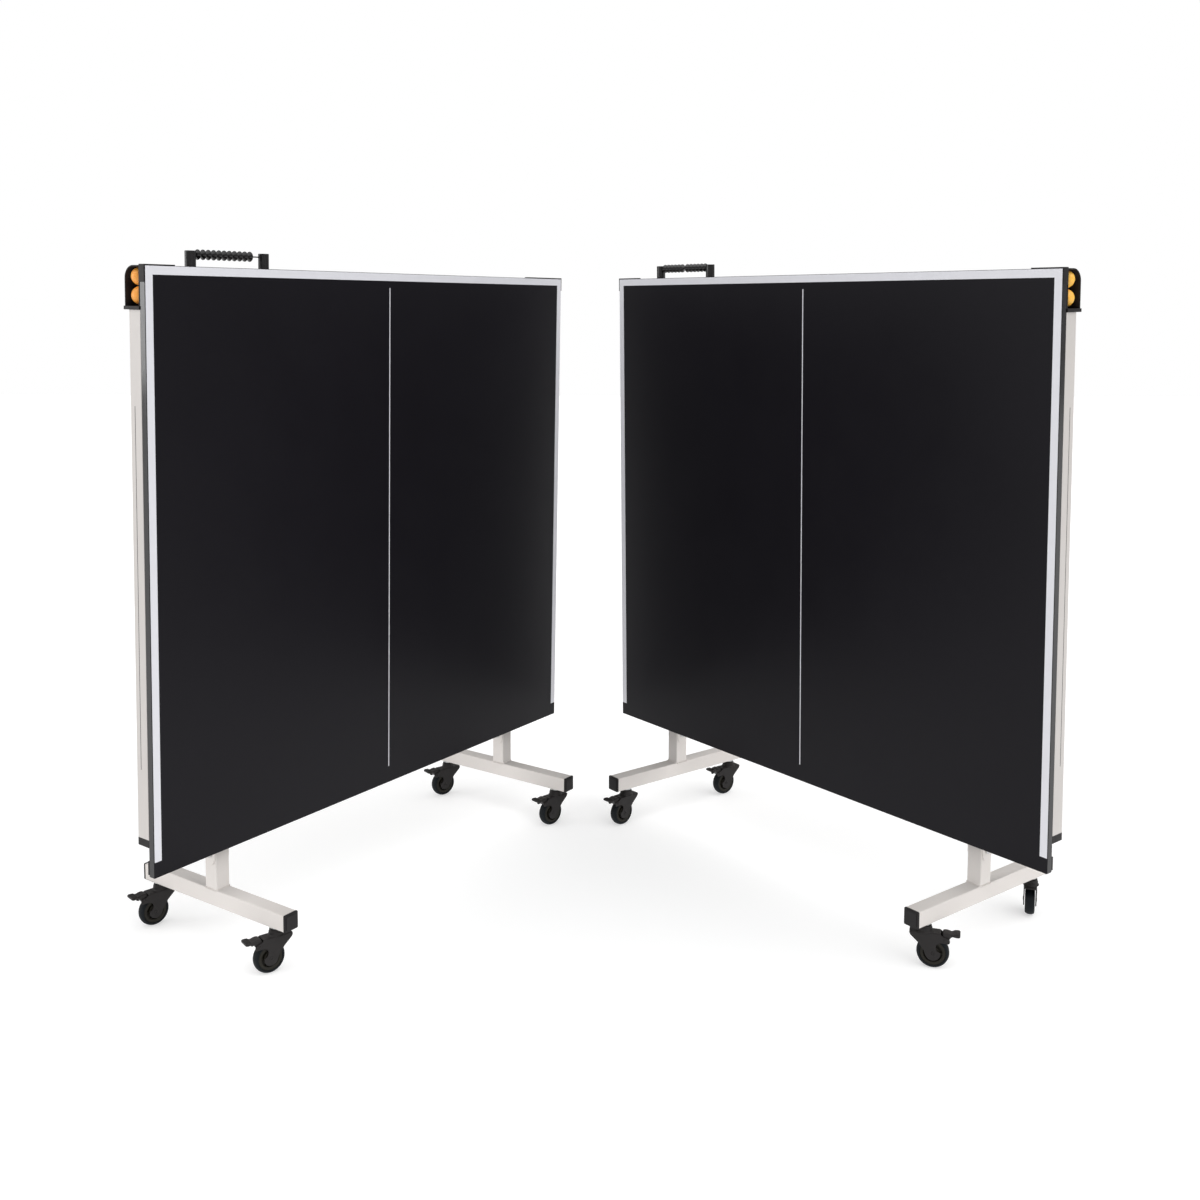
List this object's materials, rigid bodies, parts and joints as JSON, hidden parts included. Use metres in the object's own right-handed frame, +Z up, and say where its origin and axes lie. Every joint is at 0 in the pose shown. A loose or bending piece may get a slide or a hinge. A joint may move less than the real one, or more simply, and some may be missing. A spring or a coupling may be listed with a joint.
{
  "type": "ping pong table",
  "caption": "Ping pong table in two rolling halves with tilting tops, folding leg frames, braked casters, ball holders and bead scorers, stored upright.",
  "frame": {"origin": "middle of the floor plan of the two stored halves, on the floor", "axes": "+X across the open side of the V of the two halves, +Y from the open side of the V to its closed end, +Z up"},
  "size_m": [2.3028, 1.2792, 1.6626],
  "materials": {
    "board_charcoal": "satin lacquered wood board",
    "frame_coat": "warm off-white powder coat",
    "rail_coat": "light silver powder coat",
    "black_plastic": "fine textured black moulding",
    "bolt_steel": "zinc plated",
    "link_steel": "light powder coat",
    "ball_orange": "matt celluloid",
    "scorer_black": "glossy black moulding",
    "foot_rubber": "matt rubber",
    "caster_black": "satin black coat on pressed steel",
    "tyre_rubber": "black rubber on a dark hub",
    "pedal_black": "satin black coat"
  },
  "bodies": {
    "trolley_left": {"t_legs_left": "frame_coat", "foot_caps_left": "black_plastic", "crossbars_left": "frame_coat", "trolley_bolts_left": "bolt_steel"},
    "top_left": {"board_left": "board_charcoal", "rails_left": "rail_coat", "corner_fittings_left": "black_plastic", "ball_holders_left": "black_plastic", "balls_left": "ball_orange", "scorer_posts_left": "scorer_black", "top_brackets_left": "rail_coat"},
    "leg_frame_left": {"play_legs_left": "frame_coat", "leg_crossbar_left": "frame_coat", "leg_feet_left": "foot_rubber", "leg_bolts_left": "bolt_steel"},
    "links_left": {"link_bars_left": "link_steel"},
    "bead_row_left": {"beads_left": "scorer_black"},
    "caster_fork_left_1": {"fork_left_1": "caster_black"},
    "caster_wheel_left_1": {"wheel_left_1": "tyre_rubber"},
    "caster_brake_left_1": {"brake_left_1": "pedal_black"},
    "caster_fork_left_2": {"fork_left_2": "caster_black"},
    "caster_wheel_left_2": {"wheel_left_2": "tyre_rubber"},
    "caster_brake_left_2": {"brake_left_2": "pedal_black"},
    "caster_fork_left_3": {"fork_left_3": "caster_black"},
    "caster_wheel_left_3": {"wheel_left_3": "tyre_rubber"},
    "caster_brake_left_3": {"brake_left_3": "pedal_black"},
    "caster_fork_left_4": {"fork_left_4": "caster_black"},
    "caster_wheel_left_4": {"wheel_left_4": "tyre_rubber"},
    "caster_brake_left_4": {"brake_left_4": "pedal_black"},
    "trolley_right": {"t_legs_right": "frame_coat", "foot_caps_right": "black_plastic", "crossbars_right": "frame_coat", "trolley_bolts_right": "bolt_steel"},
    "top_right": {"board_right": "board_charcoal", "rails_right": "rail_coat", "corner_fittings_right": "black_plastic", "ball_holders_right": "black_plastic", "balls_right": "ball_orange", "scorer_posts_right": "scorer_black", "top_brackets_right": "rail_coat"},
    "leg_frame_right": {"play_legs_right": "frame_coat", "leg_crossbar_right": "frame_coat", "leg_feet_right": "foot_rubber", "leg_bolts_right": "bolt_steel"},
    "links_right": {"link_bars_right": "link_steel"},
    "bead_row_right": {"beads_right": "scorer_black"},
    "far_bead_row_right": {"far_beads_right": "scorer_black"},
    "caster_fork_right_1": {"fork_right_1": "caster_black"},
    "caster_wheel_right_1": {"wheel_right_1": "tyre_rubber"},
    "caster_brake_right_1": {"brake_right_1": "pedal_black"},
    "caster_fork_right_2": {"fork_right_2": "caster_black"},
    "caster_wheel_right_2": {"wheel_right_2": "tyre_rubber"},
    "caster_brake_right_2": {"brake_right_2": "pedal_black"},
    "caster_fork_right_3": {"fork_right_3": "caster_black"},
    "caster_wheel_right_3": {"wheel_right_3": "tyre_rubber"},
    "caster_brake_right_3": {"brake_right_3": "pedal_black"},
    "caster_fork_right_4": {"fork_right_4": "caster_black"},
    "caster_wheel_right_4": {"wheel_right_4": "tyre_rubber"},
    "caster_brake_right_4": {"brake_right_4": "pedal_black"}
  },
  "joints": [
    {"name": "top_tilt_left", "type": "hinge", "parent": "trolley_left", "child": "top_left", "pos_m": [-0.5806, 0.0179, 0.708], "axis": [-0.5906, -0.807, 0], "range_deg": [0, 91]},
    {"name": "leg_fold_left", "type": "hinge", "parent": "top_left", "child": "leg_frame_left", "pos_m": [-0.56932, 0.00964, 1.50888], "axis": [-0.5906, -0.807, 0], "range_deg": [-91, 0]},
    {"name": "link_turn_left", "type": "hinge", "parent": "trolley_left", "child": "links_left", "pos_m": [-0.61691, 0.04448, 0.663], "axis": [-0.5906, -0.807, 0], "range_deg": [0, 91]},
    {"name": "bead_slide_left", "type": "slide", "parent": "top_left", "child": "bead_row_left", "axis": [0.5906, 0.807, 0], "range_m": [0, 0.022]},
    {"name": "swivel_left_1", "type": "hinge", "parent": "trolley_left", "child": "caster_fork_left_1", "pos_m": [-0.74162, -0.54582, 0.084], "axis": [0, 0, 1], "continuous": true},
    {"name": "roll_left_1", "type": "hinge", "parent": "caster_fork_left_1", "child": "caster_wheel_left_1", "pos_m": [-0.75784, -0.55752, 0.0375], "axis": [0.585, -0.8111, 0], "continuous": true},
    {"name": "brake_press_left_1", "type": "hinge", "parent": "caster_fork_left_1", "child": "caster_brake_left_1", "pos_m": [-0.78055, -0.5739, 0.073], "axis": [0.585, -0.8111, 0], "range_deg": [0, 12]},
    {"name": "swivel_left_2", "type": "hinge", "parent": "trolley_left", "child": "caster_fork_left_2", "pos_m": [-1.08054, -0.29777, 0.084], "axis": [0, 0, 1], "continuous": true},
    {"name": "roll_left_2", "type": "hinge", "parent": "caster_fork_left_2", "child": "caster_wheel_left_2", "pos_m": [-1.09545, -0.3111, 0.0375], "axis": [0.6665, -0.7455, 0], "continuous": true},
    {"name": "brake_press_left_2", "type": "hinge", "parent": "caster_fork_left_2", "child": "caster_brake_left_2", "pos_m": [-1.11632, -0.32976, 0.073], "axis": [0.6665, -0.7455, 0], "range_deg": [0, 12]},
    {"name": "swivel_left_3", "type": "hinge", "parent": "trolley_left", "child": "caster_fork_left_3", "pos_m": [-0.09195, 0.34183, 0.084], "axis": [0, 0, 1], "continuous": true},
    {"name": "roll_left_3", "type": "hinge", "parent": "caster_fork_left_3", "child": "caster_wheel_left_3", "pos_m": [-0.10709, 0.32877, 0.0375], "axis": [0.6534, -0.757, 0], "continuous": true},
    {"name": "brake_press_left_3", "type": "hinge", "parent": "caster_fork_left_3", "child": "caster_brake_left_3", "pos_m": [-0.12829, 0.31047, 0.073], "axis": [0.6534, -0.757, 0], "range_deg": [0, 12]},
    {"name": "swivel_left_4", "type": "hinge", "parent": "trolley_left", "child": "caster_fork_left_4", "pos_m": [-0.43087, 0.58989, 0.084], "axis": [0, 0, 1], "continuous": true},
    {"name": "roll_left_4", "type": "hinge", "parent": "caster_fork_left_4", "child": "caster_wheel_left_4", "pos_m": [-0.4471, 0.57819, 0.0375], "axis": [0.585, -0.8111, 0], "continuous": true},
    {"name": "brake_press_left_4", "type": "hinge", "parent": "caster_fork_left_4", "child": "caster_brake_left_4", "pos_m": [-0.4698, 0.56181, 0.073], "axis": [0.585, -0.8111, 0], "range_deg": [0, 12]},
    {"name": "top_tilt_right", "type": "hinge", "parent": "trolley_right", "child": "top_right", "pos_m": [0.6088, 0.0179, 0.708], "axis": [-0.5906, 0.807, 0], "range_deg": [0, 91]},
    {"name": "leg_fold_right", "type": "hinge", "parent": "top_right", "child": "leg_frame_right", "pos_m": [0.59752, 0.00964, 1.50888], "axis": [-0.5906, 0.807, 0], "range_deg": [-91, 0]},
    {"name": "link_turn_right", "type": "hinge", "parent": "trolley_right", "child": "links_right", "pos_m": [0.64511, 0.04448, 0.663], "axis": [-0.5906, 0.807, 0], "range_deg": [0, 91]},
    {"name": "bead_slide_right", "type": "slide", "parent": "top_right", "child": "bead_row_right", "axis": [0.5906, -0.807, 0], "range_m": [0, 0.0035]},
    {"name": "far_bead_slide_right", "type": "slide", "parent": "top_right", "child": "far_bead_row_right", "axis": [-0.5906, 0.807, 0], "range_m": [0, 0.0035]},
    {"name": "swivel_right_1", "type": "hinge", "parent": "trolley_right", "child": "caster_fork_right_1", "pos_m": [0.12015, 0.34183, 0.084], "axis": [0, 0, 1], "continuous": true},
    {"name": "roll_right_1", "type": "hinge", "parent": "caster_fork_right_1", "child": "caster_wheel_right_1", "pos_m": [0.1051, 0.32866, 0.0375], "axis": [0.6587, -0.7524, 0], "continuous": true},
    {"name": "brake_press_right_1", "type": "hinge", "parent": "caster_fork_right_1", "child": "caster_brake_right_1", "pos_m": [0.08403, 0.31022, 0.073], "axis": [0.6587, -0.7524, 0], "range_deg": [0, 12]},
    {"name": "swivel_right_2", "type": "hinge", "parent": "trolley_right", "child": "caster_fork_right_2", "pos_m": [0.45907, 0.58989, 0.084], "axis": [0, 0, 1], "continuous": true},
    {"name": "roll_right_2", "type": "hinge", "parent": "caster_fork_right_2", "child": "caster_wheel_right_2", "pos_m": [0.44253, 0.57865, 0.0375], "axis": [0.5621, -0.8271, 0], "continuous": true},
    {"name": "brake_press_right_2", "type": "hinge", "parent": "caster_fork_right_2", "child": "caster_brake_right_2", "pos_m": [0.41937, 0.56291, 0.073], "axis": [0.5621, -0.8271, 0], "range_deg": [0, 12]},
    {"name": "swivel_right_3", "type": "hinge", "parent": "trolley_right", "child": "caster_fork_right_3", "pos_m": [0.76982, -0.54582, 0.084], "axis": [0, 0, 1], "continuous": true},
    {"name": "roll_right_3", "type": "hinge", "parent": "caster_fork_right_3", "child": "caster_wheel_right_3", "pos_m": [0.78886, -0.55193, 0.0375], "axis": [0.3057, 0.9521, 0], "continuous": true},
    {"name": "brake_press_right_3", "type": "hinge", "parent": "caster_fork_right_3", "child": "caster_brake_right_3", "pos_m": [0.81552, -0.56049, 0.073], "axis": [0.3057, 0.9521, 0], "range_deg": [0, 12]},
    {"name": "swivel_right_4", "type": "hinge", "parent": "trolley_right", "child": "caster_fork_right_4", "pos_m": [1.10874, -0.29777, 0.084], "axis": [0, 0, 1], "continuous": true},
    {"name": "roll_right_4", "type": "hinge", "parent": "caster_fork_right_4", "child": "caster_wheel_right_4", "pos_m": [1.11552, -0.27895, 0.0375], "axis": [-0.9409, 0.3387, 0], "continuous": true},
    {"name": "brake_press_right_4", "type": "hinge", "parent": "caster_fork_right_4", "child": "caster_brake_right_4", "pos_m": [1.125, -0.2526, 0.073], "axis": [-0.9409, 0.3387, 0], "range_deg": [0, 12]},
    {"name": "halves_meet", "type": "hinge", "parent": "trolley_left", "child": "trolley_right", "pos_m": [0.0141, 0.05836, 0], "axis": [0, 0, -1], "range_deg": [0, 72.4]}
  ],
  "couplings": [
    {"joint": "leg_fold_left", "follows": "top_tilt_left", "ratio": -1},
    {"joint": "link_turn_left", "follows": "top_tilt_left", "ratio": 1},
    {"joint": "leg_fold_right", "follows": "top_tilt_right", "ratio": -1},
    {"joint": "link_turn_right", "follows": "top_tilt_right", "ratio": 1}
  ]
}
